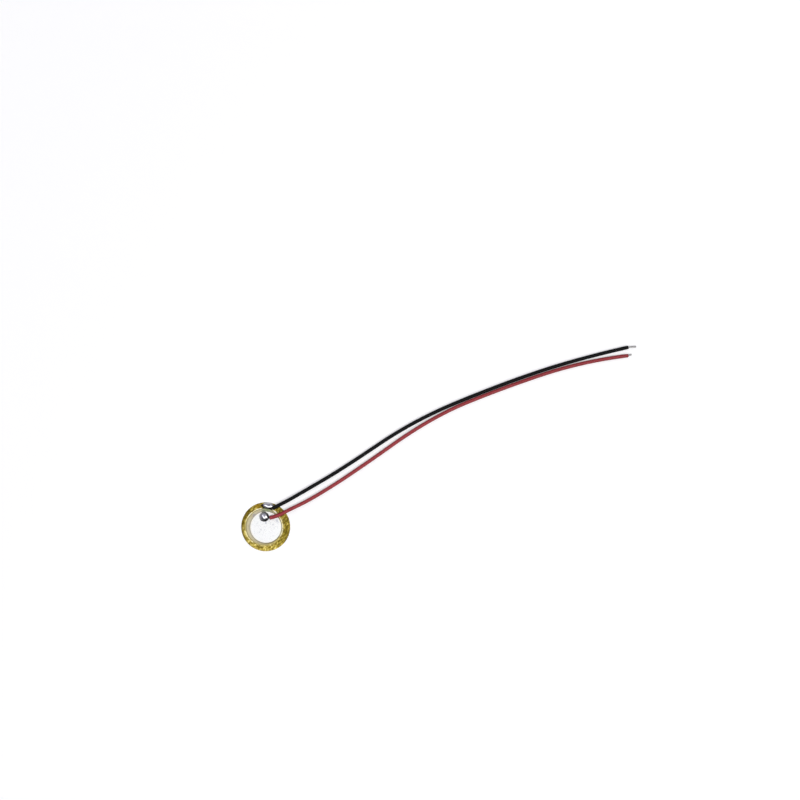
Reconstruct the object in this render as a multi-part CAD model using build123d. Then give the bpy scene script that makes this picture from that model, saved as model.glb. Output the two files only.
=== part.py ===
from build123d import *

import math
import os

# Piezo bender disc with two flying leads. Lengths are in millimetres, angles in degrees.
# The origin is the centre of the plate's underside, +Z points out of the ceramic side.

# Brass plate, blanked from sheet with its upper edge broken by the die
plate_diameter = 12.0
plate_thickness = 0.10
plate_edge_break = 0.03

# Ceramic disc glued down a little off the plate's axis, with fired silver on both faces.
# The upper print is off the ceramic's own middle.
bare_brass_width = 1.50
ceramic_offset_x = -0.40
ceramic_offset_y = -0.03
ceramic_thickness = 0.08
ceramic_edge_break = 0.015
silver_thickness = 0.015
lower_silver_margin = 0.10
bare_ceramic_width = 0.675
print_offset_x = 0.44
print_offset_y = -0.07

# Adhesive: a film under the ceramic and a bead squeezed out round it
bond_thickness = 0.01
bead_width = 0.17
bead_crest_width = 0.02
bead_height = 0.06

# Solder joints: a round drop on the silver, and one drawn out along the brass rim
wetting_angle = 20.0
wetted_foot_radius = 0.12
signal_joint_diameter = 2.38
signal_joint_height = 0.95
signal_joint_bearing = 99.15
signal_joint_edge_margin = 0.062
ground_joint_length = 2.84
ground_joint_height = 0.76
ground_joint_lean = 0.22
ground_joint_bearing = 83.5
ground_joint_edge_margin = 0.05
ground_joint_bead_margin = 0.11

# Leads: stranded cores that lie six-sided in soft sleeves and are tinned round at their stripped tips
insulation_diameter = 0.90
conductor_diameter = 0.45
strand_bundle_sides = 6
tin_thickness = 0.01
bore_clearance = 0.02
stub_knee_length = 0.30
tip_knee_length = 0.15
conductor_bend_radius = 0.50
arc_run_share = 0.45

# Diameters of the round layers and width of the rim joint
ceramic_diameter = plate_diameter - 2 * bare_brass_width
lower_silver_diameter = ceramic_diameter - 2 * lower_silver_margin
upper_silver_diameter = ceramic_diameter - 2 * bare_ceramic_width
bead_foot_diameter = ceramic_diameter + 2 * bead_width
ground_joint_width = bare_brass_width - ground_joint_edge_margin - ground_joint_bead_margin

# Heights of the stacked layers
plate_top = plate_thickness
bond_top = plate_top + bond_thickness
lower_silver_top = bond_top + silver_thickness
ceramic_top = lower_silver_top + ceramic_thickness
upper_silver_top = ceramic_top + silver_thickness
lying_height = insulation_diameter / 2

# Routes of the sleeves from the joint to the cut end: over the disc, down to the table, and along it.
# X and Y are measured from the middle of the joint, Z from the table.
red_route = [
    (1.42, -0.22, 0.71),
    (3.04, 0.12, 0.72),
    (5.88, 1.63, 0.67),
    (11.56, 4.35, 0.53),
    (21.74, 10.76, lying_height),
    (40.89, 24.36, lying_height),
    (57.56, 31.28, lying_height),
    (77.97, 38.14, lying_height),
    (89.16, 39.51, lying_height),
]
black_route = [
    (1.09, -0.70, 0.62),
    (3.84, 0.62, 0.62),
    (8.99, 3.57, 0.52),
    (18.48, 9.14, lying_height),
    (35.94, 20.94, lying_height),
    (56.27, 29.37, lying_height),
    (75.15, 35.76, lying_height),
    (88.22, 38.75, lying_height),
]

# Ends of the bare cores: buried in the solder at one end, stripped and bent a little at the other
red_stub_end = (0.02, -0.02, 0.60)
red_tip_end = (90.03, 39.82, lying_height)
black_stub_end = (-0.18, -0.23, 0.42)
black_tip_end = (90.20, 38.88, lying_height)


def disc(middle, diameter, thickness, base_height):
    """A flat round layer about a middle, standing on base_height."""
    layer = Cylinder(diameter / 2, thickness, align=(Align.CENTER, Align.CENTER, Align.MIN))
    return Pos(middle.X, middle.Y, base_height) * layer


def make_brass_plate():
    blank = disc(Vector(0, 0), plate_diameter, plate_thickness, 0)
    return chamfer(blank.edges().group_by(Axis.Z)[-1], plate_edge_break)


def make_ceramic_disc():
    blank = disc(ceramic_middle, ceramic_diameter, ceramic_thickness, lower_silver_top)
    return chamfer(blank.edges().group_by(Axis.Z)[-1], ceramic_edge_break)


def make_bond_film(ceramic, electrode):
    """The adhesive fills everything between the plate, the ceramic and its lower silver."""
    foot = Pos(0, 0, plate_top) * Circle(bead_foot_diameter / 2)
    crest = Pos(0, 0, plate_top + bead_height) * Circle(ceramic_diameter / 2 + bead_crest_width)
    mound = Pos(ceramic_middle.X, ceramic_middle.Y, 0) * loft([foot, crest], ruled=True)
    return mound - ceramic - electrode


def on_bearing(bearing, distance):
    """The step to a point at a distance, its bearing counted from +X towards +Y."""
    turn = math.radians(bearing)
    return Vector(distance * math.cos(turn), distance * math.sin(turn))


def solder_drop(diameter, height):
    """A round drop standing on z = 0: a spherical cap that runs out into a concave wetted foot."""
    wetting = math.radians(wetting_angle)
    contact_radius = diameter / 2
    foot_centre_x = contact_radius + wetted_foot_radius * math.sin(wetting)
    foot_centre_z = wetted_foot_radius * math.cos(wetting)
    drop_below_top = height - foot_centre_z
    reach = foot_centre_x**2 / (wetted_foot_radius + drop_below_top)
    cap_radius = (reach - wetted_foot_radius + drop_below_top) / 2
    cap_centre = Vector(0, height - cap_radius)
    toward_foot = (Vector(foot_centre_x, foot_centre_z) - cap_centre).normalized()
    cap = TangentArc((0, height), cap_centre + toward_foot * cap_radius, tangent=(1, 0))
    foot = TangentArc(cap @ 1, (contact_radius, 0), tangent=cap % 1)
    axis_line = Line((0, 0), (0, height))
    base_line = Line((contact_radius, 0), (0, 0))
    profile = Plane.XZ * make_face(axis_line + cap + foot + base_line)
    return revolve(profile, Axis.Z)


def make_signal_joint(middle, conductor, insulation):
    drop = solder_drop(signal_joint_diameter, signal_joint_height)
    return Pos(middle.X, middle.Y, upper_silver_top) * drop - conductor - insulation


def make_ground_joint(middle, conductor, insulation):
    """The drop is stretched along the rim, and its ridge leans towards the middle of the disc."""
    stretch = ground_joint_length / ground_joint_width
    lean = ground_joint_lean / ground_joint_height
    drawn_out = Matrix([[stretch, 0, 0, 0], [0, 1, -lean, 0], [0, 0, 1, 0]])
    drop = solder_drop(ground_joint_width, ground_joint_height).transform_geometry(drawn_out)
    quarter_turn = 90
    place = Pos(middle.X, middle.Y, plate_top) * Rot(0, 0, ground_joint_bearing - quarter_turn)
    return place * drop - conductor - insulation


def bend_radii(points):
    """At each corner of a route, the largest arc that the shorter of its two runs allows."""
    radii = []
    for before, corner, after in zip(points, points[1:], points[2:]):
        run_in = corner - before
        run_out = after - corner
        half_turn = math.radians(run_in.get_angle(run_out)) / 2
        radii.append(arc_run_share * min(run_in.length, run_out.length) / math.tan(half_turn))
    return radii


def swept(section, path):
    return sweep(Plane(origin=path @ 0, z_dir=path % 0) * section, path=path)


def bare_end_path(mouth, inside, knee_length, end):
    """Straight out of the sleeve's mouth as far as the knee, and from there to the core's end."""
    knee = mouth + (mouth - inside).normalized() * knee_length
    return FilletPolyline(mouth, knee, end, radius=conductor_bend_radius)


def make_lead(name, joint, route, stub_end, tip_end):
    """A sleeve along the route, and one core that runs through it and bends at both bare ends."""
    points = [joint + Vector(point) for point in route]
    radii = bend_radii(points)
    path = FilletPolyline(*points, radius=radii)
    stub_path = bare_end_path(points[0], points[1], stub_knee_length, joint + Vector(stub_end))
    tip_path = bare_end_path(points[-1], points[-2], tip_knee_length, joint + Vector(tip_end))
    core_length = stub_path.length + path.length + tip_path.length
    print(name, "bend radii", [round(radius, 1) for radius in radii])
    print(name, "sleeve", round(path.length, 2), "core", round(core_length, 2))

    bundle_radius = conductor_diameter / 2 - tin_thickness
    bundle = RegularPolygon(bundle_radius, strand_bundle_sides)
    bore = RegularPolygon(bundle_radius + bore_clearance, strand_bundle_sides)
    tinned = Circle(conductor_diameter / 2)
    sleeve = swept(Circle(insulation_diameter / 2) - bore, path)
    core = swept(bundle, path) + swept(bundle, stub_path) + swept(tinned, tip_path)
    return sleeve, core


ceramic_middle = Vector(ceramic_offset_x, ceramic_offset_y)
print_middle = ceramic_middle + Vector(print_offset_x, print_offset_y)
signal_middle = print_middle + on_bearing(
    signal_joint_bearing,
    upper_silver_diameter / 2 - signal_joint_edge_margin - signal_joint_diameter / 2,
)
ground_middle = on_bearing(
    ground_joint_bearing,
    plate_diameter / 2 - ground_joint_edge_margin - ground_joint_width / 2,
)

ceramic_disc = make_ceramic_disc()
lower_electrode = disc(ceramic_middle, lower_silver_diameter, silver_thickness, bond_top)
upper_electrode = disc(print_middle, upper_silver_diameter, silver_thickness, ceramic_top)
red_insulation, red_conductor = make_lead(
    "red lead", signal_middle, red_route, red_stub_end, red_tip_end
)
black_insulation, black_conductor = make_lead(
    "black lead", ground_middle, black_route, black_stub_end, black_tip_end
)

nodes = {
    "brass_plate": make_brass_plate(),
    "bond_film": make_bond_film(ceramic_disc, lower_electrode),
    "lower_electrode": lower_electrode,
    "ceramic_disc": ceramic_disc,
    "upper_electrode": upper_electrode,
    "signal_solder_joint": make_signal_joint(signal_middle, red_conductor, red_insulation),
    "ground_solder_joint": make_ground_joint(ground_middle, black_conductor, black_insulation),
    "red_insulation": red_insulation,
    "red_conductor": red_conductor,
    "black_insulation": black_insulation,
    "black_conductor": black_conductor,
}

os.makedirs("parts", exist_ok=True)
for node, solid in nodes.items():
    export_step(solid, f"parts/{node}.step")
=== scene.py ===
import math
from collections import namedtuple

import bpy
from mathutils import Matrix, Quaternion, Vector, noise


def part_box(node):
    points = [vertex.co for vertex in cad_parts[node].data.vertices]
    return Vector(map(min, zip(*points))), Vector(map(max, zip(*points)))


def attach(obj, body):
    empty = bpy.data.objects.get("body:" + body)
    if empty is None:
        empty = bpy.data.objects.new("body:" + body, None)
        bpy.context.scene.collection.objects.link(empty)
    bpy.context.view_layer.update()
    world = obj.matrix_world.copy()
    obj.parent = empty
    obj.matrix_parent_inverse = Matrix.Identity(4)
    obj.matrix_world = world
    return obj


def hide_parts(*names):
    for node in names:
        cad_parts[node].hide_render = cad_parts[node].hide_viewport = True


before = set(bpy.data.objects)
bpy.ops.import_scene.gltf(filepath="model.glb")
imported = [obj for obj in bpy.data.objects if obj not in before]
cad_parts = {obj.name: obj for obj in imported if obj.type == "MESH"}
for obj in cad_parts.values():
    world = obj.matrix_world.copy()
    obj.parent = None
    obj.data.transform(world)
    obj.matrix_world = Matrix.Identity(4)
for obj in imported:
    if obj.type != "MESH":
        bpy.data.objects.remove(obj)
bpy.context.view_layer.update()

# Piezo disc with two leads. Lengths are in metres, and angles in degrees where nothing else is said.
# Bearings are counted from +X towards +Y.
MM = 0.001
FULL_TURN = 2 * math.pi
QUARTER_TURN = math.pi / 2
UP = Vector((0, 0, 1))


# Layers as the solids give them

Layer = namedtuple("Layer", "radius middle base top")


def round_layer(node):
    """The radius, middle, underside and top of a round flat node."""
    low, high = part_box(node)
    middle = Vector(((low[0] + high[0]) / 2, (low[1] + high[1]) / 2, 0))
    return Layer((high[0] - low[0]) / 2, middle, low[2], high[2])


def on_top(layer, x, y):
    """A point of a layer's upper face, its place given in millimetres."""
    return Vector((x * MM, y * MM, layer.top))


def on_bearing(bearing, distance):
    """The step to a point at a distance on a bearing."""
    turn = math.radians(bearing)
    return Vector((distance * math.cos(turn), distance * math.sin(turn), 0))


PLATE = round_layer("brass_plate")
CERAMIC = round_layer("ceramic_disc")
PRINT = round_layer("upper_electrode")
BOND = round_layer("bond_film")

# Solder joints, with the sizes of the solids
SIGNAL_RADIUS = 1.19 * MM
SIGNAL_HEIGHT = 0.95 * MM
SIGNAL_BEARING = 99.15
SIGNAL_OFFSET = 2.573 * MM
SIGNAL_MIDDLE = PRINT.middle + on_bearing(SIGNAL_BEARING, SIGNAL_OFFSET)
GROUND_HALF_LENGTH = 1.42 * MM
GROUND_HALF_WIDTH = 0.67 * MM
GROUND_HEIGHT = 0.76 * MM
GROUND_RIDGE_SHIFT = 0.22 * MM
GROUND_BEARING = 83.5
GROUND_OFFSET = 5.28 * MM
GROUND_MIDDLE = on_bearing(GROUND_BEARING, GROUND_OFFSET)

# Leads. Their routes are those of the solids: X and Y from the middle of the joint, Z from the table.
SLEEVE_RADIUS = 0.45 * MM
BORE_RADIUS = 0.235 * MM
STRAND_RADIUS = 0.075 * MM
LYING_HEIGHT = SLEEVE_RADIUS
STUB_KNEE = 0.30 * MM
TIP_KNEE = 0.15 * MM

RED_ROUTE = [
    (0.00142, -0.00022, 0.00071),
    (0.00304, 0.00012, 0.00072),
    (0.00588, 0.00163, 0.00067),
    (0.01156, 0.00435, 0.00053),
    (0.02174, 0.01076, LYING_HEIGHT),
    (0.04089, 0.02436, LYING_HEIGHT),
    (0.05756, 0.03128, LYING_HEIGHT),
    (0.07797, 0.03814, LYING_HEIGHT),
    (0.08916, 0.03951, LYING_HEIGHT),
]
RED_STUB_END = (0.00002, -0.00002, 0.00060)
RED_TIP_END = (0.09003, 0.03982, LYING_HEIGHT)
BLACK_ROUTE = [
    (0.00109, -0.00070, 0.00062),
    (0.00384, 0.00062, 0.00062),
    (0.00899, 0.00357, 0.00052),
    (0.01848, 0.00914, LYING_HEIGHT),
    (0.03594, 0.02094, LYING_HEIGHT),
    (0.05627, 0.02937, LYING_HEIGHT),
    (0.07515, 0.03576, LYING_HEIGHT),
    (0.08822, 0.03875, LYING_HEIGHT),
]
BLACK_STUB_END = (-0.00018, -0.00023, 0.00042)
BLACK_TIP_END = (0.09020, 0.03888, LYING_HEIGHT)


# Material nodes

# The curve between a screen's values and linear ones
SCREEN_WHITE = 255
SCREEN_KNEE = 10.3
SCREEN_SLOPE = 12.92
SCREEN_OFFSET = 0.055
SCREEN_POWER = 2.4

# Places of a colour Mix node's sockets
MIX_SHARE, MIX_BASE, MIX_COVER = 0, 6, 7
MIX_RESULT = 2


def linear(red, green, blue):
    """A colour as it is read off a screen, 0 to 255, turned into the scene's linear values."""
    def channel(value):
        share = value / SCREEN_WHITE
        if value < SCREEN_KNEE:
            return share / SCREEN_SLOPE
        return ((share + SCREEN_OFFSET) / (1 + SCREEN_OFFSET)) ** SCREEN_POWER
    return channel(red), channel(green), channel(blue), 1


class Nodes:
    """A node tree, with short ways to add nodes that are set and linked at once."""

    def __init__(self, tree):
        self.tree = tree

    def add(self, kind, inputs=None, **settings):
        """A new node. Each of its inputs gets a value or the output of another node."""
        node = self.tree.nodes.new(kind)
        for name, value in settings.items():
            setattr(node, name, value)
        for socket, value in (inputs or {}).items():
            if isinstance(value, bpy.types.NodeSocket):
                self.tree.links.new(value, node.inputs[socket])
            else:
                node.inputs[socket].default_value = value
        return node

    def math(self, operation, a, b, clamp=False):
        return self.add("ShaderNodeMath", {0: a, 1: b}, operation=operation, use_clamp=clamp).outputs[0]

    def vector_math(self, operation, a, b, output="Value"):
        return self.add("ShaderNodeVectorMath", {0: a, 1: b}, operation=operation).outputs[output]

    def ramp(self, factor, stops):
        """Colours by a factor. Each stop is a position and the colour there."""
        node = self.add("ShaderNodeValToRGB", {"Fac": factor})
        points = node.color_ramp.elements
        while len(points) < len(stops):
            points.new(0.5)
        for point, (position, colour) in zip(points, stops):
            point.position = position
            point.color = colour
        return node.outputs["Color"]


class Shader(Nodes):
    """One Principled material and the nodes that feed it."""

    def __init__(self, name, **sockets):
        self.material = bpy.data.materials.new(name)
        self.material.use_nodes = True
        super().__init__(self.material.node_tree)
        self.surface = self.tree.nodes["Principled BSDF"]
        self.object_space = self.add("ShaderNodeTexCoord").outputs["Object"]
        for socket, value in sockets.items():
            self.surface.inputs[socket.replace("_", " ")].default_value = value

    def noise(self, size, detail=3.0, roughness=0.55, stretch=None):
        """Noise with features about size across; stretch turns the Y axis and draws them out along it."""
        place = self.object_space
        if stretch:
            turn, length = stretch
            turned = {"Vector": place, "Rotation": (0, 0, turn), "Scale": (1, length, 1)}
            place = self.add("ShaderNodeMapping", turned, vector_type="TEXTURE").outputs[0]
        grain = {"Vector": place, "Scale": 1 / size, "Detail": detail, "Roughness": roughness}
        return self.add("ShaderNodeTexNoise", grain).outputs["Fac"]

    def mix(self, share, base, cover):
        """A colour with a share of another one laid over it."""
        sockets = {MIX_SHARE: share, MIX_BASE: base, MIX_COVER: cover}
        return self.add("ShaderNodeMix", sockets, data_type="RGBA").outputs[MIX_RESULT]

    def spread(self, value, low, high, from_low=0.0, from_high=1.0):
        """A value that goes from from_low to from_high, turned into one that goes from low to high."""
        bounds = {"From Min": from_low, "From Max": from_high, "To Min": low, "To Max": high}
        return self.add("ShaderNodeMapRange", {"Value": value, **bounds}).outputs[0]

    def sum(self, a, b):
        return self.math("ADD", a, b, clamp=True)

    def product(self, a, b):
        return self.math("MULTIPLY", a, b, clamp=True)

    def slope(self, direction, start, end, low=0.0, high=1.0, origin=None):
        """From low to high between two distances along a direction from an origin."""
        place = self.object_space
        if origin is not None:
            place = self.vector_math("SUBTRACT", place, tuple(origin), output="Vector")
        along = self.vector_math("DOT_PRODUCT", place, direction)
        return self.spread(along, low, high, start, end)

    def ring(self, middle, start, end, low=0.0, high=1.0):
        """From low to high between two distances from the vertical line through middle."""
        flat = self.vector_math("MULTIPLY", self.object_space, (1, 1, 0), output="Vector")
        away = self.vector_math("DISTANCE", flat, tuple(middle))
        return self.spread(away, low, high, start, end)

    def rim(self, layer, start, end, low=0.0, high=1.0):
        """From low to high between two distances from a layer's edge, below 0 inside it."""
        return self.ring(layer.middle, layer.radius + start, layer.radius + end, low, high)

    def near(self, place, reach):
        """1 at a place, falling to 0 at a distance of reach from it."""
        gap = self.vector_math("DISTANCE", self.object_space, tuple(place))
        return self.spread(gap, 1, 0, 0, reach)

    def spot(self, place, reach, strength=1.0, faint=0.0, full=1.0):
        """A mark at a place: it begins at the nearness faint and has its whole strength from full on."""
        return self.spread(self.near(place, reach), 0.0, strength, faint, full)

    def feed(self, socket, value):
        self.tree.links.new(value, self.surface.inputs[socket])

    def bump(self, height, depth, strength, below=None):
        """Relief of a depth in metres, laid over the relief below."""
        sockets = {"Height": height, "Distance": depth, "Strength": strength}
        if below is not None:
            sockets["Normal"] = below
        normal = self.add("ShaderNodeBump", sockets).outputs["Normal"]
        self.feed("Normal", normal)
        return normal


# Brass sheet

# The direction of rolling, as a turn of the Y axis in radians
ROLLING_TURN = -0.6

# Lit and shaded copies of the brass, mixed below by painted light
LIT_FRESH_BRASS = [(0.31, linear(98, 82, 14)), (0.5, linear(164, 144, 58)), (0.69, linear(240, 224, 138))]
SHADED_AGED_BRASS = [(0.32, linear(58, 46, 2)), (0.5, linear(110, 94, 20)), (0.68, linear(192, 174, 80))]
DARK_SPECK = linear(86, 66, 4)
PALE_SPECK = linear(228, 208, 112)
DARK_STREAK = linear(78, 62, 6)
PALE_STREAK = linear(224, 204, 112)
# A painted highlight
HIGHLIGHT_BRASS = linear(226, 206, 122)
# Painted shade along the edge
SHADED_EDGE = linear(84, 68, 12)
# Painted shade
SHADED_BRASS = linear(92, 78, 14)
TINNED_EDGE = linear(150, 148, 152)
SCORCHED_BRASS = linear(48, 36, 20)
BURNT_FLUX = linear(16, 14, 11)

# Each patch of tarnish is a place, a reach and a colour
TARNISH = [
    (on_top(PLATE, -2.05, 5.05), 0.9 * MM, linear(140, 108, 16)),
    (on_top(PLATE, -4.25, 3.25), 1.3 * MM, linear(84, 68, 6)),
]


def brass_material():
    """Thin rolled sheet, handled and tarnished in blotches, with painted light: lighter towards the lower
    left, and painted shade on the right and along the left edge.
    """
    shader = Shader("brass_sheet", Metallic=0.9, Roughness=0.4, Specular_IOR_Level=0.15)
    mottle = shader.noise(size=0.42 * MM, detail=2, roughness=0.5, stretch=(ROLLING_TURN, 1.6))
    clouds = shader.noise(size=2.2 * MM, detail=2)
    specks = shader.noise(size=0.22 * MM, detail=2, roughness=0.5, stretch=(ROLLING_TURN, 2.0))
    rolling = shader.noise(size=0.045 * MM, detail=3, stretch=(ROLLING_TURN, 24))

    # Painted light and shade: a lit, fresher tone towards the lower left and in one patch, and a shaded,
    # aged tone elsewhere, broken up at random
    lit_side = shader.slope((-0.55, -0.85, 0), start=0.6 * MM, end=5.0 * MM)
    bright_patch = shader.spot(on_top(PLATE, -2.3, 5.0), reach=3.0 * MM, strength=0.4)
    uneven = shader.spread(clouds, low=-0.4, high=0.4, from_low=0.3, from_high=0.7)
    clear = shader.sum(shader.sum(lit_side, bright_patch), uneven)
    # The ramps are a lit and a shaded copy of the brass; the side slope paints light onto the sheet
    tone = shader.mix(clear, shader.ramp(mottle, SHADED_AGED_BRASS), shader.ramp(mottle, LIT_FRESH_BRASS))

    # Specks, and streaks along the rolling
    dark = shader.spread(specks, low=0.0, high=0.5, from_low=0.55, from_high=0.70)
    tone = shader.mix(dark, tone, DARK_SPECK)
    pale = shader.spread(specks, low=0.5, high=0.0, from_low=0.30, from_high=0.43)
    tone = shader.mix(pale, tone, PALE_SPECK)
    dark = shader.spread(rolling, low=0.4, high=0.0, from_low=0.30, from_high=0.48)
    tone = shader.mix(dark, tone, DARK_STREAK)
    pale = shader.spread(rolling, low=0.0, high=0.4, from_low=0.52, from_high=0.70)
    tone = shader.mix(pale, tone, PALE_STREAK)

    # Painted highlight and shade, tarnished patches, and solder that has run over the edge
    # Painted highlight: a lighter patch at the lower left
    highlight_patch = shader.spot(on_top(PLATE, -4.8, -1.7), reach=1.5 * MM, strength=0.25)
    tone = shader.mix(highlight_patch, tone, HIGHLIGHT_BRASS)
    # Painted shade: darker along the edge, most on the left
    edge = shader.ring(PLATE.middle, start=5.0 * MM, end=5.9 * MM)
    shaded_left_side = shader.slope((-0.93, 0.15, 0), start=2.0 * MM, end=5.0 * MM, low=0.12, high=0.85)
    tone = shader.mix(shader.product(edge, shaded_left_side), tone, SHADED_EDGE)
    # Painted shade: a darker patch on the right
    shaded_patch = shader.spot(on_top(PLATE, 5.2, -1.7), reach=2.4 * MM, strength=0.5, full=0.6)
    tone = shader.mix(shaded_patch, tone, SHADED_BRASS)
    tinned = shader.slope(on_bearing(GROUND_BEARING, 1), start=5.80 * MM, end=5.88 * MM, high=0.9)
    tone = shader.mix(tinned, tone, TINNED_EDGE)
    for place, reach, colour in TARNISH:
        tone = shader.mix(shader.spot(place, reach, strength=0.6, full=0.6), tone, colour)

    # Burnt flux beside the rim joint
    frayed = shader.spread(mottle, low=-0.3, high=0.3, from_low=0.3, from_high=0.7)
    scorch = shader.sum(shader.near(on_top(PLATE, -0.86, 5.26), reach=0.68 * MM), frayed)
    scorch = shader.spread(scorch, low=0.0, high=1.0, from_low=0.3, from_high=0.7)
    tone = shader.mix(scorch, tone, SCORCHED_BRASS)
    flux = shader.sum(shader.near(on_top(PLATE, -0.46, 4.76), reach=0.5 * MM), frayed)
    flux = shader.spread(flux, low=0.0, high=1.0, from_low=0.3, from_high=0.5)
    shader.feed("Base Color", shader.mix(flux, tone, BURNT_FLUX))

    shader.feed("Roughness", shader.spread(mottle, low=0.46, high=0.28, from_low=0.3, from_high=0.7))
    grain = shader.bump(rolling, depth=0.004 * MM, strength=0.6)
    shader.bump(specks, depth=0.014 * MM, strength=0.8, below=grain)
    return shader.material


# Fired silver

SILVER_PASTE = [(0.3, linear(238, 239, 239)), (0.5, linear(254, 255, 253))]
THIN_PASTE = linear(246, 240, 214)
GREY_FLECK = linear(144, 146, 150)
SOFT_MARK = linear(212, 214, 217)
SMUDGE = linear(176, 180, 192)

# Each smudge is a place and a reach
SMUDGES = [(on_top(PRINT, 2.80, 1.35), 0.75 * MM), (on_top(PRINT, 0.05, 0.85), 0.6 * MM)]


def silver_material():
    """Fired silver paste, nearly white, with a fine grain, small grey flecks and two smudges."""
    shader = Shader("fired_silver", Metallic=0.1, Roughness=0.6)
    paste = shader.noise(size=0.05 * MM, detail=3, roughness=0.6)
    flecks = shader.noise(size=0.20 * MM, detail=2, roughness=0.5)
    marks = shader.noise(size=0.40 * MM, detail=2, roughness=0.5)
    tone = shader.ramp(paste, SILVER_PASTE)
    tone = shader.mix(shader.rim(PRINT, start=-0.35 * MM, end=0, high=0.6), tone, THIN_PASTE)
    handled = shader.ring(PRINT.middle, start=1.8 * MM, end=3.6 * MM, low=1.0, high=0.3)
    dirt = shader.spread(flecks, low=0.8, high=0.0, from_low=0.24, from_high=0.41)
    tone = shader.mix(shader.product(handled, dirt), tone, GREY_FLECK)
    worked = shader.spread(marks, low=0.7, high=0.0, from_low=0.28, from_high=0.44)
    tone = shader.mix(shader.product(handled, worked), tone, SOFT_MARK)
    patchy = shader.spread(marks, low=1.0, high=0.0, from_low=0.35, from_high=0.65)
    for place, reach in SMUDGES:
        tone = shader.mix(shader.product(shader.near(place, reach), patchy), tone, SMUDGE)
    shader.feed("Base Color", tone)
    shader.feed("Roughness", shader.spread(paste, low=0.68, high=0.52))
    shader.bump(paste, depth=0.004 * MM, strength=0.5)
    return shader.material


# Fired ceramic

PALE_CERAMIC = [(0.3, linear(188, 178, 138)), (0.55, linear(209, 199, 163)), (0.8, linear(222, 213, 180))]
BROWN_CERAMIC = [(0.3, linear(126, 113, 52)), (0.55, linear(147, 134, 70)), (0.8, linear(170, 158, 98))]
YELLOW_RIM = linear(184, 166, 92)
# A painted highlight
RIM_HIGHLIGHT = linear(244, 234, 170)
FADED_CERAMIC = linear(172, 162, 154)
GREY_SPOT = linear(150, 144, 146)
SEAM_SHADOW_AND_STAIN = linear(126, 112, 70)
GREEN_TINT = linear(130, 144, 102)
SOOT = linear(84, 88, 70)
PRINT_EDGE_SHADOW = linear(58, 55, 42)


def right_side(shader):
    """The right side, where the bead runs out thin and a highlight is painted on the ceramic's edge."""
    return shader.slope((0.98, 0.2, 0), start=2.6 * MM, end=3.6 * MM)


def ceramic_material():
    """Sintered ceramic, greyer on one side and browner on the other, with painted shadow along the print's
    edge and a painted highlight on its rim.
    """
    shader = Shader("fired_ceramic", Roughness=0.6)
    grain = shader.noise(size=0.22 * MM, detail=4, roughness=0.7)
    clouds = shader.noise(size=1.6 * MM, detail=2)
    brown_side = shader.slope((0.85, -0.5, 0), start=-2.2 * MM, end=2.8 * MM)
    uneven = shader.spread(clouds, low=-0.3, high=0.3, from_low=0.3, from_high=0.7)
    brown = shader.sum(brown_side, uneven)
    tone = shader.mix(brown, shader.ramp(grain, PALE_CERAMIC), shader.ramp(grain, BROWN_CERAMIC))

    # Along the outer edge, with a painted highlight on its right side
    rim = shader.rim(CERAMIC, start=-0.4 * MM, end=0, high=0.85)
    lower_side = shader.slope((-0.5, -0.87, 0), start=-1.5 * MM, end=2.0 * MM, low=0.25)
    tone = shader.mix(shader.product(rim, lower_side), tone, YELLOW_RIM)
    # Painted highlight on the rim, on the right side only
    rim_highlight = shader.rim(CERAMIC, start=-0.18 * MM, end=-0.06 * MM, high=0.9)
    tone = shader.mix(shader.product(rim_highlight, right_side(shader)), tone, RIM_HIGHLIGHT)

    # Greyer beside the print on the pale side, with one grey spot, and a dark seam beside the bead on the
    # left side, partly glue-line stain and partly painted shadow
    faded = shader.rim(PRINT, start=0.10 * MM, end=0.42 * MM, low=0.8, high=0.0)
    pale_side = shader.spread(brown_side, low=1.0, high=0.0)
    tone = shader.mix(shader.product(faded, pale_side), tone, FADED_CERAMIC)
    spot = shader.spot(on_top(CERAMIC, -2.80, 2.80), reach=0.6 * MM, strength=0.7, full=0.6)
    tone = shader.mix(spot, tone, GREY_SPOT)
    # Painted shadow and glue-line stain beside the bead, on the left side only
    seam = shader.rim(CERAMIC, start=-0.24 * MM, end=-0.12 * MM, high=0.65)
    shaded_left_side = shader.slope((-0.95, 0.3, 0), start=1.0 * MM, end=2.6 * MM)
    tone = shader.mix(shader.product(seam, shaded_left_side), tone, SEAM_SHADOW_AND_STAIN)

    # Tinted and sooty beside the joints
    tone = shader.mix(shader.near(on_top(CERAMIC, 0.4, 4.2), reach=2.0 * MM), tone, GREEN_TINT)
    soot = shader.spot(on_top(CERAMIC, -0.55, 3.72), reach=0.7 * MM, strength=0.7, faint=0.1, full=0.6)
    tone = shader.mix(soot, tone, SOOT)

    # Painted shadow: a dark line along the print's edge, strongest on the brown side
    inner = shader.rim(PRINT, start=-0.05 * MM, end=0.02 * MM)
    outer = shader.rim(PRINT, start=0.08 * MM, end=0.20 * MM, low=1.0, high=0.0)
    darker_side = shader.spread(brown_side, low=0.15, high=1.0, from_high=0.9)
    line = shader.product(shader.product(inner, outer), darker_side)
    shader.feed("Base Color", shader.mix(line, tone, PRINT_EDGE_SHADOW))

    shader.feed("Roughness", shader.spread(grain, low=0.5, high=0.7))
    shader.bump(grain, depth=0.004 * MM, strength=0.6)
    return shader.material


# Cured adhesive

MILKY_ADHESIVE = [(0.36, linear(204, 183, 98)), (0.47, linear(248, 236, 164)), (0.60, linear(255, 250, 214))]
THIN_ADHESIVE = [(0.34, linear(140, 122, 42)), (0.5, linear(180, 160, 66)), (0.66, linear(234, 218, 132))]
SMOOTH_ADHESIVE = linear(190, 173, 94)
FEATHERED_ADHESIVE = linear(140, 122, 46)
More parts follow.
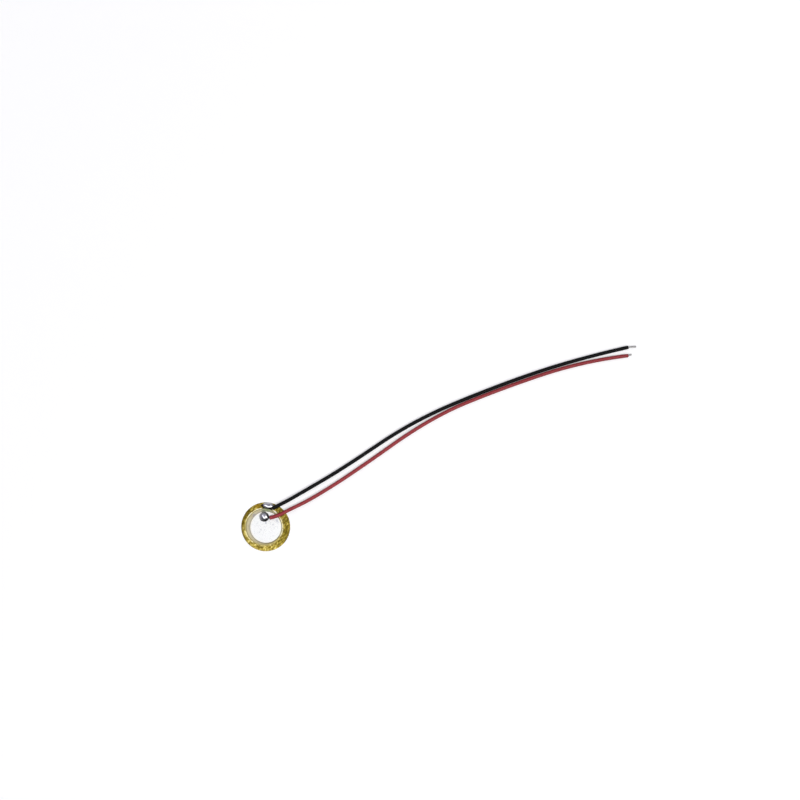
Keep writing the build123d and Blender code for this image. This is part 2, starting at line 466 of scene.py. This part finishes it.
# Burnt flux and painted shadow
BURNT_SHADED_ADHESIVE = linear(22, 19, 15)
WHITE_GLINT = linear(255, 252, 234)
CREAM_GLINT = linear(255, 243, 182)

# Each glint is a place, a reach and a colour
GLINTS = [
    (on_top(PLATE, -1.25, 4.55), 0.5 * MM, WHITE_GLINT),
    (on_top(PLATE, -2.0, 4.2), 0.4 * MM, WHITE_GLINT),
    (on_top(PLATE, 2.35, 3.7), 0.7 * MM, WHITE_GLINT),
    (on_top(PLATE, -4.85, -1.45), 0.5 * MM, CREAM_GLINT),
    (on_top(PLATE, -4.5, -2.1), 0.55 * MM, CREAM_GLINT),
    (on_top(PLATE, -3.98, -2.85), 0.6 * MM, CREAM_GLINT),
    (on_top(PLATE, -3.35, -3.55), 0.5 * MM, CREAM_GLINT),
]


def adhesive_material():
    """Clear cured adhesive, pale and glossy, brassy where it is thin, and burnt flux with painted shadow
    beside the rim joint.
    """
    shader = Shader("cured_adhesive", Roughness=0.2, IOR=1.5, Coat_Weight=0.5)
    cloud = shader.noise(size=0.9 * MM, detail=3)
    thin_side = shader.slope((0.25, -0.97, 0), start=1.6 * MM, end=3.4 * MM)
    tone = shader.mix(thin_side, shader.ramp(cloud, MILKY_ADHESIVE), shader.ramp(cloud, THIN_ADHESIVE))
    smooth = shader.spot(on_top(PLATE, -5.0, 0.2), reach=1.9 * MM, strength=0.85, full=0.4)
    tone = shader.mix(smooth, tone, SMOOTH_ADHESIVE)
    feathered = shader.rim(CERAMIC, start=0.07 * MM, end=0.17 * MM, high=0.9)
    tone = shader.mix(shader.product(feathered, right_side(shader)), tone, FEATHERED_ADHESIVE)
    for place, reach, colour in GLINTS:
        tone = shader.mix(shader.spot(place, reach, faint=0.2, full=0.6), tone, colour)
    # Burnt flux, and painted shadow of the rim joint, beside it
    burnt_and_shaded = shader.spot(on_top(PLATE, 0.45, 4.55), reach=1.9 * MM, faint=0.2, full=0.4)
    shader.feed("Base Color", shader.mix(burnt_and_shaded, tone, BURNT_SHADED_ADHESIVE))
    shader.feed("Roughness", shader.spread(cloud, low=0.14, high=0.34))
    shader.bump(cloud, depth=0.01 * MM, strength=0.6)
    return shader.material


# Solder

CLEAN_SOLDER = [(0.3, linear(216, 216, 224)), (0.7, linear(240, 240, 244))]
# Burnt flux, and painted dark reflection and shade
STAINED_SHADED_SOLDER = linear(22, 20, 19)


def solder_material(name, middle, base, bright_above, dark_below, dark_side, far_dark_share, wire_side,
                    burnt_end=None):
    """Bright solder that grows dark towards its foot, most on one side: partly burnt flux, and partly
    painted dark reflection and shade.

    It is bright above one height over its base and dark below another. On the far side only the share
    far_dark_share is left of the darkening, and beyond wire_side, where the wire comes out, all is dark.
    """
    shader = Shader(name, Metallic=1.0, Roughness=0.14)
    frost = shader.noise(size=0.25 * MM, detail=5, roughness=0.7)
    # Burnt flux and painted dark reflection and shade, by height, by side and beside the wire
    low = shader.slope(UP, start=base + dark_below, end=base + bright_above, low=1.0, high=0.0)
    side = shader.slope(dark_side, start=-0.5 * MM, end=0.5 * MM, low=far_dark_share, origin=middle)
    patchy = shader.spread(frost, low=0.8, high=1.05)
    wire = shader.slope(dark_side, start=wire_side, end=wire_side + 0.3 * MM, origin=middle)
    stain_and_shade = shader.sum(shader.product(low, shader.product(side, patchy)), wire)
    if burnt_end:
        place, reach = burnt_end
        stain_and_shade = shader.sum(stain_and_shade, shader.spot(place, reach, faint=0.2, full=0.6))
    shader.feed("Base Color", shader.mix(stain_and_shade, shader.ramp(frost, CLEAN_SOLDER), STAINED_SHADED_SOLDER))
    frosted = shader.spread(frost, low=0.10, high=0.24)
    shader.feed("Roughness", shader.sum(frosted, shader.spread(stain_and_shade, low=0.0, high=0.3)))
    shader.bump(frost, depth=0.006 * MM, strength=0.5)
    return shader.material


# Tinned strands and vinyl sleeves

TIN_STREAKS = [(0.3, linear(136, 135, 132)), (0.7, linear(196, 195, 193))]
BURNT_TIN = linear(34, 30, 27)


def tin_material():
    """Tinned copper, streaked, and burnt dark where it enters the solder."""
    shader = Shader("tinned_strand", Metallic=1.0, Roughness=0.35)
    streak = shader.noise(size=0.2 * MM, detail=4)
    tone = shader.ramp(streak, TIN_STREAKS)
    for middle in (SIGNAL_MIDDLE, GROUND_MIDDLE):
        tone = shader.mix(shader.spot(middle, reach=2.0 * MM, faint=0.1, full=0.3), tone, BURNT_TIN)
    shader.feed("Base Color", tone)
    shader.feed("Roughness", shader.spread(streak, low=0.25, high=0.5))
    shader.bump(streak, depth=0.004 * MM, strength=0.6)
    return shader.material


def sleeve_material(name, gloss, deep, mid, pale):
    """Soft vinyl with a slightly uneven skin, deeper in colour towards the far end."""
    shader = Shader(name, Roughness=0.42, IOR=1.53, Specular_IOR_Level=gloss)
    skin = shader.noise(size=0.35 * MM, detail=4, roughness=0.6)
    drift = shader.noise(size=6 * MM, detail=2)
    tone = shader.ramp(skin, [(0.25, deep), (0.55, mid), (0.85, pale)])
    tone = shader.mix(shader.spread(drift, low=0.0, high=0.35), tone, deep)
    far = shader.slope((1, 0, 0), start=40 * MM, end=80 * MM, high=0.4)
    shader.feed("Base Color", shader.mix(far, tone, deep))
    shader.feed("Roughness", shader.spread(skin, low=0.34, high=0.52))
    shader.bump(skin, depth=0.006 * MM, strength=0.5)
    return shader.material


BRASS_SHEET = brass_material()
FIRED_SILVER = silver_material()
FIRED_CERAMIC = ceramic_material()
CURED_ADHESIVE = adhesive_material()
SIGNAL_SOLDER = solder_material(
    "signal_solder", SIGNAL_MIDDLE, PRINT.top, bright_above=0.93 * MM, dark_below=0.58 * MM,
    dark_side=(0.8, -0.6, 0), far_dark_share=0.6, wire_side=0.75 * MM)
GROUND_SOLDER = solder_material(
    "ground_solder", GROUND_MIDDLE, PLATE.top, bright_above=0.68 * MM, dark_below=0.30 * MM,
    dark_side=(0.15, -0.99, 0), far_dark_share=0.45, wire_side=0.48 * MM,
    burnt_end=(on_top(PLATE, -0.80, 5.15) + UP * 0.1 * MM, 0.72 * MM))
TINNED_STRAND = tin_material()
RED_VINYL = sleeve_material(
    "red_vinyl", gloss=0.4, deep=linear(128, 26, 34), mid=linear(158, 40, 48), pale=linear(180, 62, 68))
BLACK_VINYL = sleeve_material(
    "black_vinyl", gloss=0.08, deep=linear(10, 10, 11), mid=linear(16, 16, 17), pale=linear(28, 28, 30))


# Mesh pieces

# The turn from which an edge is sharp
FLAT_CREASE = 40
LEAD_CREASE = 60
DROP_CREASE = 80


def add_piece(name, surface, material, nodes, crease=FLAT_CREASE):
    """A smooth piece that stands for CAD nodes; its edges are sharp where it turns by more than crease."""
    points, faces = surface
    mesh = bpy.data.meshes.new(name)
    mesh.from_pydata([tuple(point) for point in points], [], faces)
    mesh.update()
    mesh.shade_smooth()
    mesh.set_sharp_from_angle(angle=math.radians(crease))
    mesh.materials.append(material)
    piece = bpy.data.objects.new(name, mesh)
    bpy.context.scene.collection.objects.link(piece)
    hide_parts(*nodes)
    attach(piece, "root")
    return piece


def skin_rings(rings, closed_loop=False):
    """Points and faces through rings of as many points each; the first and last are closed or joined."""
    sides = len(rings[0])
    count = len(rings)
    points = [point for ring in rings for point in ring]
    faces = []
    for i in range(count if closed_loop else count - 1):
        here = i * sides
        there = (i + 1) % count * sides
        for k in range(sides):
            n = (k + 1) % sides
            faces.append((here + k, here + n, there + n, there + k))
    if closed_loop:
        return points, faces
    for ring, flip in ((0, True), (count - 1, False)):
        points.append(sum((Vector(point) for point in rings[ring]), Vector()) / sides)
        for k in range(sides):
            edge = (ring * sides + k, ring * sides + (k + 1) % sides)
            faces.append((*(reversed(edge) if flip else edge), len(points) - 1))
    return points, faces


def turned_rings(profile, segments, middle=Vector(), wobble=None):
    """Rings about a vertical axis, one for each radius and height of the profile."""
    rings = []
    for radius, height in profile:
        ring = []
        for k in range(segments):
            angle = FULL_TURN * k / segments
            reach = radius + (wobble(angle, radius) if wobble else 0)
            ring.append(middle + Vector((reach * math.cos(angle), reach * math.sin(angle), height)))
        rings.append(ring)
    return rings


def rounded(radius, height, size, steps=5):
    """The upper outer edge of a disc, as points of a quarter round."""
    turns = [QUARTER_TURN * i / steps for i in range(steps + 1)]
    return [(radius - size + size * math.cos(t), height - size + size * math.sin(t)) for t in turns]


def ripple(angle, seed, size, waves):
    """A smooth deviation that comes back to itself after a full turn."""
    return size * noise.noise(Vector((waves * math.cos(angle), waves * math.sin(angle), seed)))


# Brass plate, ceramic and printed silver

DISC_SEGMENTS = 256
PRINT_SEGMENTS = 320

# The smallest ring of a disc, which is closed by a point at its middle
HUB_RADIUS = 0.02 * MM

# Broken edges
PLATE_LOWER_EDGE = 0.02 * MM
PLATE_LOWER_EDGE_RISE = 0.008 * MM
PLATE_EDGE = 0.03 * MM
CERAMIC_EDGE = 0.015 * MM
PRINT_EDGE = 0.012 * MM

plate_profile = [
    (HUB_RADIUS, PLATE.base),
    (PLATE.radius - PLATE_LOWER_EDGE, PLATE.base),
    (PLATE.radius, PLATE.base + PLATE_LOWER_EDGE_RISE),
    *rounded(PLATE.radius, PLATE.top, PLATE_EDGE),
    (PLATE.radius / 2, PLATE.top),
    (HUB_RADIUS, PLATE.top),
]
plate_rings = turned_rings(plate_profile, DISC_SEGMENTS)
add_piece("plate", skin_rings(plate_rings), BRASS_SHEET, ["brass_plate"])

ceramic_profile = [
    (HUB_RADIUS, CERAMIC.base),
    (CERAMIC.radius, CERAMIC.base),
    *rounded(CERAMIC.radius, CERAMIC.top, CERAMIC_EDGE),
    (HUB_RADIUS, CERAMIC.top),
]
ceramic_rings = turned_rings(ceramic_profile, DISC_SEGMENTS, CERAMIC.middle)
add_piece("ceramic", skin_rings(ceramic_rings), FIRED_CERAMIC, ["ceramic_disc"])

print_profile = [
    (HUB_RADIUS, CERAMIC.top),
    (PRINT.radius, CERAMIC.top),
    *rounded(PRINT.radius, PRINT.top, PRINT_EDGE),
    (HUB_RADIUS, PRINT.top),
]


def ragged_print(angle, radius):
    """The print's edge is ragged, and the rings at its middle are round."""
    if radius < PRINT.radius / 2:
        return 0
    fine = ripple(angle, seed=4.2, size=0.02 * MM, waves=14)
    return fine + ripple(angle, seed=1.1, size=0.015 * MM, waves=3)


print_rings = turned_rings(print_profile, PRINT_SEGMENTS, PRINT.middle, ragged_print)
add_piece("upper_silver", skin_rings(print_rings), FIRED_SILVER, ["upper_electrode"])

# The lower silver is hidden and keeps its CAD shape
lower_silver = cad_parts["lower_electrode"]
lower_silver.data.materials.clear()
lower_silver.data.materials.append(FIRED_SILVER)


# Bead of adhesive round the ceramic, wider where more was squeezed out and narrow beside the rim joint

BEAD_STEPS = 6
BEAD_INNER_RADIUS = CERAMIC.radius - 0.08 * MM
BEAD_SPREAD = 0.08 * MM
BEAD_RISE = 0.075 * MM

# How hollow the bead's slope is: 0 is straight
BEAD_HOLLOW = 0.4

# How far the narrow stretch goes to each side of the joint, in radians
BESIDE_JOINT = 0.35


def bead_ring(angle):
    """One cut through the bead, at an angle about the ceramic's axis."""
    beside_joint = math.exp(-((angle - math.radians(GROUND_BEARING)) / BESIDE_JOINT) ** 2)
    foot = BOND.radius + BEAD_SPREAD * (1 - beside_joint) + ripple(angle, seed=7.7, size=0.08 * MM, waves=4)
    rise = BEAD_RISE + ripple(angle, seed=2.5, size=0.02 * MM, waves=5)
    section = [(BEAD_INNER_RADIUS, PLATE.top), (foot, PLATE.top)]
    for i in range(1, BEAD_STEPS + 1):
        share = i / BEAD_STEPS
        curved = share * (1 - BEAD_HOLLOW + BEAD_HOLLOW * share)
        section.append((foot + (CERAMIC.radius - foot) * share, PLATE.top + rise * curved))
    section.append((BEAD_INNER_RADIUS, CERAMIC.base))
    outward = Vector((math.cos(angle), math.sin(angle), 0))
    return [CERAMIC.middle + outward * radius + UP * height for radius, height in reversed(section)]


bead_rings = [bead_ring(FULL_TURN * k / DISC_SEGMENTS) for k in range(DISC_SEGMENTS)]
bead_surface = skin_rings(bead_rings, closed_loop=True)
add_piece("adhesive_bead", bead_surface, CURED_ADHESIVE, ["bond_film"])


# Solder joints

# A drop is a cap that runs out into a concave foot, and is rippled more below the foot's height
WETTING_ANGLE = 40
FOOT_RADIUS = 0.06 * MM
FOOT_HEIGHT = 0.25 * MM

# Its rings crowd towards the rim
DROP_SEGMENTS = 96
DROP_STEPS = 40
DROP_CROWDING = 1.4
DROP_HUB_RADIUS = 0.004 * MM

# The round drop bulges and leans outward, and is dented near its top
SIGNAL_BULGE = 0.05
SIGNAL_LEAN = 0.10
DENT_X = 0.10 * MM
DENT_Y = 0.42 * MM
DENT_REACH = 0.28 * MM
DENT_DEPTH = 0.05 * MM
DENT_HEIGHT = 0.5 * MM

# The drop on the rim leans inward
GROUND_LEAN = GROUND_RIDGE_SHIFT / GROUND_HEIGHT

# The solder climbs along the wire, from a height over the print
CLIMB_FROM = 0.15 * MM
CLIMB_LENGTH = 0.14 * MM
CLIMB_REACH = 0.14 * MM
CLIMBED_WIRE_RADIUS = 0.2 * MM


def drop_profile(radius, height):
    """A function for the height of a wetted drop over its base at a distance from its middle."""
    wetting = math.radians(WETTING_ANGLE)
    foot_x = radius + FOOT_RADIUS * math.sin(wetting)
    foot_z = FOOT_RADIUS * math.cos(wetting)
    below = height - foot_z
    cap = (foot_x**2 / (FOOT_RADIUS + below) - FOOT_RADIUS + below) / 2
    cap_z = height - cap
    touch = foot_x * cap / math.hypot(foot_x, foot_z - cap_z)

    def height_at(distance):
        if distance <= touch:
            return cap_z + math.sqrt(cap**2 - distance**2)
        return foot_z - math.sqrt(max(FOOT_RADIUS**2 - (foot_x - distance) ** 2, 0))
    return height_at


def drop_rings(place, radius, height):
    """Rings of a drop from its rim to its top; place turns drop coordinates into the object's."""
    height_at = drop_profile(radius, height)
    angles = [FULL_TURN * k / DROP_SEGMENTS for k in range(DROP_SEGMENTS)]
    rings = []
    for i in range(DROP_STEPS + 1):
        share = i / DROP_STEPS
        distance = radius * (1 - share**DROP_CROWDING) + DROP_HUB_RADIUS * share
        rings.append([place(distance, angle, height_at(distance)) for angle in angles])
    return rings


def signal_place(distance, angle, height):
    """A point of the round drop: rippled, most at its foot, leaning outward, with a dent near its top."""
    low = max(0, 1 - height / FOOT_HEIGHT) ** 2
    swell = 1 + ripple(angle, seed=3.3, size=0.03, waves=1.6)
    swell += SIGNAL_BULGE * max(0, math.sin(angle)) ** 2
    swell += ripple(angle, seed=8.8, size=0.04, waves=2.4) * low
    point = Vector((distance * swell * math.cos(angle), distance * swell * math.sin(angle), height))
    point.y += SIGNAL_LEAN * height
    from_dent = (point - Vector((DENT_X, DENT_Y, point.z))).length
    dent = math.exp(-(from_dent / DENT_REACH) ** 2)
    point.z -= DENT_DEPTH * dent * min(1, height / DENT_HEIGHT)
    return SIGNAL_MIDDLE + point + UP * PRINT.top


def ground_place(distance, angle, height):
    """A point of the drop on the rim: drawn out along it, apart from its foot, and leaning inward."""
    low = max(0, 1 - height / FOOT_HEIGHT) ** 2
    swell = 1 + ripple(angle, seed=9.1, size=0.05, waves=1.8)
    swell += ripple(angle, seed=5.4, size=0.04, waves=2.4) * low
    core = GROUND_HALF_WIDTH - FOOT_RADIUS
    drawn = min(distance, core) * (GROUND_HALF_LENGTH - FOOT_RADIUS) / core + max(distance - core, 0)
    along = drawn * swell * math.cos(angle)
    across = distance * swell * math.sin(angle) - GROUND_LEAN * height
    outward = on_bearing(GROUND_BEARING, 1)
    sideways = Vector((outward.y, -outward.x, 0))
    return GROUND_MIDDLE + sideways * along + outward * across + UP * (PLATE.top + height)


def climbing(point, stub):
    """Solder drawn up along a wire: a point near the wire moves outward along it."""
    start = stub[-1]
    out = (stub[0] - start).normalized()
    offset = point - start
    if point.z <= PRINT.top + CLIMB_FROM or offset.dot(out) < 0:
        return point
    gap = (offset - out * offset.dot(out)).length - CLIMBED_WIRE_RADIUS
    return point + out * CLIMB_LENGTH * math.exp(-(max(gap, 0) / CLIMB_REACH) ** 2)


# Leads

LINE_STEPS = 64
BARE_END_STEPS = 24
SLEEVE_SIDES = 28
BORE_EVERY = 4

# The sleeve is swollen by heat at the joint and pulled thin at its cut end
SWOLLEN = 0.05
SWOLLEN_LENGTH = 0.5 * MM
PULLED = 0.07
PULLED_LENGTH = 0.35 * MM
RAGGED_CUT = 0.05 * MM

# Both ends have a lip, by which the end face is smaller than the sleeve, and bulge outward
MOUTH_LIP = 0.05 * MM
MOUTH_BULGE = 0.035 * MM
MOUTH_BORE_BULGE = 0.025 * MM
CUT_LIP = 0.03 * MM
CUT_BULGE = 0.025 * MM
CUT_BORE_BULGE = 0.02 * MM

STRANDS_ROUND = 6
STRAND_SIDES = 8
STRAND_PITCH = 5.5 * MM
LOOSENED = 0.18
LOOSE_LENGTH = 0.5 * MM

# Strands end unevenly: the most that one falls short, and its place in the noise that says how much
STRAND_SHORTFALL = 0.10 * MM
SHORTFALL_STEP = 1.7
SHORTFALL_ROW = 0.3

# Tin fills the strands at the stripped end
TIN_SIDES = 20
TIN_RADIUS = 2.45 * STRAND_RADIUS
TIN_INSIDE_SLEEVE = 0.6 * MM
TIN_SHORT_OF_TIP = 0.16 * MM


def spline_points(name, controls, steps):
    """Points along the smooth line that has these control points."""
    data = bpy.data.curves.new(name, "CURVE")
    data.dimensions = "3D"
    data.resolution_u = steps
    spline = data.splines.new("NURBS")
    spline.points.add(len(controls) - 1)
    for point, place in zip(spline.points, controls):
        point.co = (*place, 1)
    spline.order_u = 3
    spline.use_endpoint_u = True
    guide = bpy.data.objects.new(name, data)
    bpy.context.scene.collection.objects.link(guide)
    bpy.context.view_layer.update()
    evaluated = guide.evaluated_get(bpy.context.evaluated_depsgraph_get())
    mesh = bpy.data.meshes.new_from_object(evaluated)
    points = [vertex.co.copy() for vertex in mesh.vertices]
    bpy.data.objects.remove(guide)
    bpy.data.curves.remove(data)
    bpy.data.meshes.remove(mesh)
    return points


def frames_along(points):
    """Each point with its direction and two cross directions that don't twist along the line."""
    frames = []
    across = None
    for i, point in enumerate(points):
        ahead = (points[min(i + 1, len(points) - 1)] - points[max(i - 1, 0)]).normalized()
        if across is None:
            across = UP.cross(ahead).normalized()
        across = (across - ahead * across.dot(ahead)).normalized()
        frames.append((point, ahead, across, ahead.cross(across)))
    return frames


def ring_at(frame_here, radius, sides, offset=(0, 0), push=None):
    """A ring about a line; offset shifts it across the line, and push moves its points along it."""
    point, ahead, across, up = frame_here
    ring = []
    for k in range(sides):
        angle = FULL_TURN * k / sides
        step = across * (offset[0] + radius * math.cos(angle)) + up * (offset[1] + radius * math.sin(angle))
        ring.append(point + step + (ahead * push(angle) if push else Vector()))
    return ring


def travelled(points):
    """The way along a line as far as each of its points."""
    total = [0.0]
    for a, b in zip(points, points[1:]):
        total.append(total[-1] + (b - a).length)
    return total


def sleeve_rings(points, seed):
    """Outer wall, cut ends and bore of one sleeve."""
    frames = frames_along(points)
    way = travelled(points)
    outer = []
    for here, s in zip(frames, way):
        hot = math.exp(-s / SWOLLEN_LENGTH)
        pulled = math.exp(-(way[-1] - s) / PULLED_LENGTH)
        outer.append(ring_at(here, SLEEVE_RADIUS * (1 + SWOLLEN * hot - PULLED * pulled), SLEEVE_SIDES))

    def ragged(angle):
        return ripple(angle, seed, size=RAGGED_CUT, waves=1.5)

    def end_ring(here, radius, bulge):
        return ring_at(here, radius, SLEEVE_SIDES, push=bulge)

    mouth_radius = SLEEVE_RADIUS * (1 + SWOLLEN) - MOUTH_LIP
    mouth_outer = end_ring(frames[0], mouth_radius, lambda angle: -MOUTH_BULGE)
    mouth_inner = end_ring(frames[0], BORE_RADIUS, lambda angle: -MOUTH_BORE_BULGE)
    cut_radius = SLEEVE_RADIUS * (1 - PULLED) - CUT_LIP
    cut_outer = end_ring(frames[-1], cut_radius, lambda angle: CUT_BULGE + ragged(angle))
    cut_inner = end_ring(frames[-1], BORE_RADIUS, lambda angle: CUT_BORE_BULGE + ragged(angle))
    bore = [ring_at(here, BORE_RADIUS, SLEEVE_SIDES) for here in frames[1:-1:BORE_EVERY]]
    return [mouth_outer] + outer + [cut_outer, cut_inner] + bore[::-1] + [mouth_inner]


def strand_surface(points, seed, tinned_from):
    """Seven strands, six twisted round one, with the tin that fills them beyond tinned_from."""
    frames = frames_along(points)
    way = travelled(points)
    length = way[-1]
    all_points = []
    all_faces = []

    def join(rings):
        more_points, more_faces = skin_rings(rings)
        base = len(all_points)
        all_points.extend(more_points)
        all_faces.extend(tuple(i + base for i in face) for face in more_faces)

    for k in range(STRANDS_ROUND + 1):
        lay = 2 * STRAND_RADIUS if k < STRANDS_ROUND else 0
        draw = noise.noise(Vector((seed, SHORTFALL_STEP * k, SHORTFALL_ROW)))
        short = STRAND_SHORTFALL * abs(draw)
        rings = []
        for here, s in zip(frames, way):
            if s > length - short:
                break
            loose = 1 + LOOSENED * max(0, 1 - (length - s) / LOOSE_LENGTH) ** 2
            angle = FULL_TURN * (k / STRANDS_ROUND + s / STRAND_PITCH)
            offset = (lay * loose * math.cos(angle), lay * loose * math.sin(angle))
            rings.append(ring_at(here, STRAND_RADIUS, STRAND_SIDES, offset))
        join(rings)
    tinned = [here for here, s in zip(frames, way) if tinned_from < s < length - TIN_SHORT_OF_TIP]
    join([ring_at(here, TIN_RADIUS, TIN_SIDES) for here in tinned])
    return all_points, all_faces


def bare_end(name, mouth, inside, knee_length, end):
    """The line of a bare end: straight out of the sleeve's mouth as far as a knee, and on to its end."""
    knee = mouth + (mouth - inside).normalized() * knee_length
    return spline_points(name, [mouth, knee, end], BARE_END_STEPS)


def add_lead(colour, middle, route, stub_end, tip_end, material, seed):
    """One lead: a sleeve, and strands with both bare ends. Returns the line of the end in the solder."""
    controls = [middle + Vector(point) for point in route]
    stub = bare_end(colour + "_stub_line", controls[0], controls[1], STUB_KNEE, middle + Vector(stub_end))
    tip = bare_end(colour + "_tip_line", controls[-1], controls[-2], TIP_KNEE, middle + Vector(tip_end))
    line = spline_points(colour + "_line", controls, LINE_STEPS)
    line_length = travelled(line)[-1]
    sleeve_surface = skin_rings(sleeve_rings(line, seed), closed_loop=True)
    sleeve = add_piece(colour + "_sleeve", sleeve_surface, material,
                       [colour + "_insulation"], LEAD_CREASE)
    whole = stub[:0:-1] + line + tip[1:]
    tinned_from = travelled(stub)[-1] + line_length - TIN_INSIDE_SLEEVE
    strands = add_piece(colour + "_strands", strand_surface(whole, seed, tinned_from), TINNED_STRAND,
                        [colour + "_conductor"], LEAD_CREASE)
    return stub


red_stub = add_lead("red", SIGNAL_MIDDLE, RED_ROUTE, RED_STUB_END, RED_TIP_END, RED_VINYL, seed=2.1)
add_lead("black", GROUND_MIDDLE, BLACK_ROUTE, BLACK_STUB_END, BLACK_TIP_END, BLACK_VINYL, seed=6.4)

signal_rings = drop_rings(signal_place, SIGNAL_RADIUS, SIGNAL_HEIGHT)
signal_surface = skin_rings([[climbing(point, red_stub) for point in ring] for ring in signal_rings])
add_piece("signal_solder", signal_surface, SIGNAL_SOLDER, ["signal_solder_joint"], DROP_CREASE)

ground_surface = skin_rings(drop_rings(ground_place, GROUND_HALF_WIDTH, GROUND_HEIGHT))
add_piece("ground_solder", ground_surface, GROUND_SOLDER, ["ground_solder_joint"], DROP_CREASE)


# Studio: pale floor, soft lamps, and the photograph's view from straight above

PAPER = (0.78, 0.78, 0.78, 1)
PAPER_GLOW = 0.27
FLOOR_HALF = 3.0
FLOOR_LEVEL = -0.01 * MM

FRAME_WIDTH = 196.08 * MM
VIEW_MIDDLE = Vector((32.91 * MM, 31.07 * MM, 0))
CAMERA_HEIGHT = 0.62
CAMERA_NEAREST = 0.01
SENSOR_MM = 36

PANEL_LEVEL = 1.36
KEY_LEVEL = 8.0

PALE_DIRECTION = (-0.60, 0.72, 0.35)
SURROUNDINGS = [(0.0, (0.04, 0.04, 0.043, 1)), (0.6, (0.36, 0.355, 0.41, 1))]
WHITE = (1, 1, 1, 1)


def floor_material():
    """Pale paper, with a glow for what looks straight at it or sees it in metal and glass."""
    material = bpy.data.materials.new("studio_floor")
    material.use_nodes = True
    nodes = Nodes(material.node_tree)
    nodes.tree.nodes.clear()
    path = nodes.add("ShaderNodeLightPath").outputs
    seen = nodes.math("MAXIMUM", path["Is Camera Ray"], path["Is Glossy Ray"])
    seen = nodes.math("MAXIMUM", seen, path["Is Transmission Ray"])
    level = nodes.math("MULTIPLY", seen, PAPER_GLOW)
    paper = nodes.add("ShaderNodeBsdfDiffuse", {"Color": PAPER}).outputs[0]
    glow = nodes.add("ShaderNodeEmission", {"Strength": level}).outputs[0]
    both = nodes.add("ShaderNodeAddShader", {0: paper, 1: glow}).outputs[0]
    nodes.add("ShaderNodeOutputMaterial", {"Surface": both})
    return material


def add_floor():
    corners = ((-1, -1), (1, -1), (1, 1), (-1, 1))
    points = [(x * FLOOR_HALF, y * FLOOR_HALF, FLOOR_LEVEL) for x, y in corners]
    mesh = bpy.data.meshes.new("floor")
    mesh.from_pydata(points, [], [(0, 1, 2, 3)])
    mesh.materials.append(floor_material())
    floor = bpy.data.objects.new("floor", mesh)
    bpy.context.scene.collection.objects.link(floor)


def add_camera():
    """A camera straight above the middle of the view, with a square frame."""
    data = bpy.data.cameras.new("camera")
    data.sensor_width = SENSOR_MM
    data.sensor_height = SENSOR_MM
    data.lens = SENSOR_MM * CAMERA_HEIGHT / FRAME_WIDTH
    data.clip_start = CAMERA_NEAREST
    camera = bpy.data.objects.new("camera", data)
    camera.location = VIEW_MIDDLE + UP * CAMERA_HEIGHT
    bpy.context.scene.collection.objects.link(camera)
    bpy.context.scene.camera = camera


def add_lamp(name, place, size, level, aim, turn=0):
    """A soft box: a rectangle of the given size that shines at the given level towards aim."""
    data = bpy.data.lights.new(name, "AREA")
    data.shape = "RECTANGLE"
    data.size, data.size_y = size
    data.energy = level * math.pi * size[0] * size[1]
    lamp = bpy.data.objects.new(name, data)
    lamp.location = place
    facing = (Vector(aim) - Vector(place)).to_track_quat("-Z", "Y")
    lamp.rotation_euler = (facing @ Quaternion(UP, math.radians(turn))).to_euler()
    bpy.context.scene.collection.objects.link(lamp)


def studio_world():
    """Dim surroundings, cool and paler on one side, that the camera sees as plain white."""
    world = bpy.data.worlds.new("studio")
    world.use_nodes = True
    nodes = Nodes(world.node_tree)
    direction = nodes.add("ShaderNodeTexCoord").outputs["Generated"]
    shade = nodes.ramp(nodes.vector_math("DOT_PRODUCT", direction, PALE_DIRECTION), SURROUNDINGS)
    around = nodes.add("ShaderNodeBackground", {"Color": shade}).outputs[0]
    plain = nodes.add("ShaderNodeBackground", {"Color": WHITE}).outputs[0]
    seen = nodes.add("ShaderNodeLightPath").outputs["Is Camera Ray"]
    pick = nodes.add("ShaderNodeMixShader", {"Fac": seen, 1: around, 2: plain}).outputs[0]
    nodes.tree.links.new(pick, nodes.tree.nodes["World Output"].inputs["Surface"])
    return world


add_floor()
add_camera()
add_lamp("left_panel", place=(-0.38, 0.01, 1.30), size=(0.75, 2.5), level=PANEL_LEVEL,
         aim=(-0.38, 0.01, 0), turn=23)
add_lamp("right_panel", place=(0.86, -0.11, 1.32), size=(1.30, 2.5), level=PANEL_LEVEL,
         aim=(0.86, -0.11, 0), turn=-24)
add_lamp("key", place=(0.52, -0.14, 0.80), size=(0.30, 0.30), level=KEY_LEVEL, aim=VIEW_MIDDLE)
bpy.context.scene.world = studio_world()
bpy.context.scene.view_settings.view_transform = "Standard"
